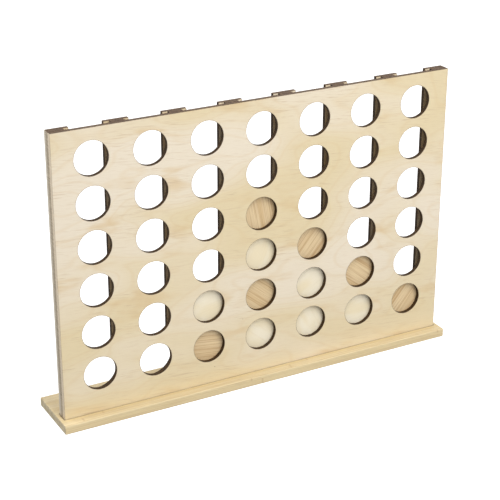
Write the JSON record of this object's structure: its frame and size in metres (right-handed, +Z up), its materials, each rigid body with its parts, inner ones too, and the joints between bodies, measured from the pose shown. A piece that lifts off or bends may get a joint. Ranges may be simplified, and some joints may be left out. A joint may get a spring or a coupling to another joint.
{
  "type": "four in a row frame",
  "caption": "Upright wooden game frame with a grid of round view holes, slotted columns behind them, a grooved plank base and wooden playing discs dropped into some columns.",
  "frame": {"origin": "middle of the base plate's underside, which stands on the table", "axes": "+X along the frame to the players' right as seen from the front, +Y from the front panel to the back panel, +Z up"},
  "size_m": [0.402, 0.06, 0.2729],
  "materials": {
    "plywood": "fine pale plywood, matt, with dark scorched cut edges",
    "base_bamboo": "bamboo plank of lengthwise strips, matt, with softened edges",
    "light_wood": "plain light wood, matt, with scorched rims",
    "tan_wood": "striped tan bamboo, matt, with scorched rims"
  },
  "bodies": {
    "base": {"base_plate": "base_bamboo"},
    "frame": {"front_panel": "plywood", "back_panel": "plywood", "bottom_rail": "plywood", "left_end_strip": "plywood", "strip_1": "plywood", "strip_2": "plywood", "strip_3": "plywood", "strip_4": "plywood", "strip_5": "plywood", "strip_6": "plywood", "right_end_strip": "plywood"},
    "tan_disc_column3_row6": {"tan_disc_column3_row6": "tan_wood"},
    "light_disc_column3_row5": {"light_disc_column3_row5": "light_wood"},
    "light_disc_column4_row6": {"light_disc_column4_row6": "light_wood"},
    "tan_disc_column4_row5": {"tan_disc_column4_row5": "tan_wood"},
    "light_disc_column4_row4": {"light_disc_column4_row4": "light_wood"},
    "tan_disc_column4_row3": {"tan_disc_column4_row3": "tan_wood"},
    "light_disc_column5_row6": {"light_disc_column5_row6": "light_wood"},
    "light_disc_column5_row5": {"light_disc_column5_row5": "light_wood"},
    "tan_disc_column5_row4": {"tan_disc_column5_row4": "tan_wood"},
    "light_disc_column6_row6": {"light_disc_column6_row6": "light_wood"},
    "tan_disc_column6_row5": {"tan_disc_column6_row5": "tan_wood"},
    "tan_disc_column7_row6": {"tan_disc_column7_row6": "tan_wood"}
  },
  "joints": [
    {"name": "frame_lift", "type": "slide", "parent": "base", "child": "frame", "axis": [0, 0, 1], "range_m": [0, 0.03]},
    {"name": "tan_disc_column3_row6_slide", "type": "slide", "parent": "frame", "child": "tan_disc_column3_row6", "axis": [0, 0, 1], "range_m": [0, 0.25]},
    {"name": "light_disc_column3_row5_slide", "type": "slide", "parent": "tan_disc_column3_row6", "child": "light_disc_column3_row5", "axis": [0, 0, 1], "range_m": [0, 0.21]},
    {"name": "light_disc_column4_row6_slide", "type": "slide", "parent": "frame", "child": "light_disc_column4_row6", "axis": [0, 0, 1], "range_m": [0, 0.25]},
    {"name": "tan_disc_column4_row5_slide", "type": "slide", "parent": "light_disc_column4_row6", "child": "tan_disc_column4_row5", "axis": [0, 0, 1], "range_m": [0, 0.21]},
    {"name": "light_disc_column4_row4_slide", "type": "slide", "parent": "tan_disc_column4_row5", "child": "light_disc_column4_row4", "axis": [0, 0, 1], "range_m": [0, 0.17]},
    {"name": "tan_disc_column4_row3_slide", "type": "slide", "parent": "light_disc_column4_row4", "child": "tan_disc_column4_row3", "axis": [0, 0, 1], "range_m": [0, 0.13]},
    {"name": "light_disc_column5_row6_slide", "type": "slide", "parent": "frame", "child": "light_disc_column5_row6", "axis": [0, 0, 1], "range_m": [0, 0.25]},
    {"name": "light_disc_column5_row5_slide", "type": "slide", "parent": "light_disc_column5_row6", "child": "light_disc_column5_row5", "axis": [0, 0, 1], "range_m": [0, 0.21]},
    {"name": "tan_disc_column5_row4_slide", "type": "slide", "parent": "light_disc_column5_row5", "child": "tan_disc_column5_row4", "axis": [0, 0, 1], "range_m": [0, 0.17]},
    {"name": "light_disc_column6_row6_slide", "type": "slide", "parent": "frame", "child": "light_disc_column6_row6", "axis": [0, 0, 1], "range_m": [0, 0.25]},
    {"name": "tan_disc_column6_row5_slide", "type": "slide", "parent": "light_disc_column6_row6", "child": "tan_disc_column6_row5", "axis": [0, 0, 1], "range_m": [0, 0.21]},
    {"name": "tan_disc_column7_row6_push_out", "type": "slide", "parent": "frame", "child": "tan_disc_column7_row6", "axis": [0, 1, 0], "range_m": [0, 0.025]}
  ]
}
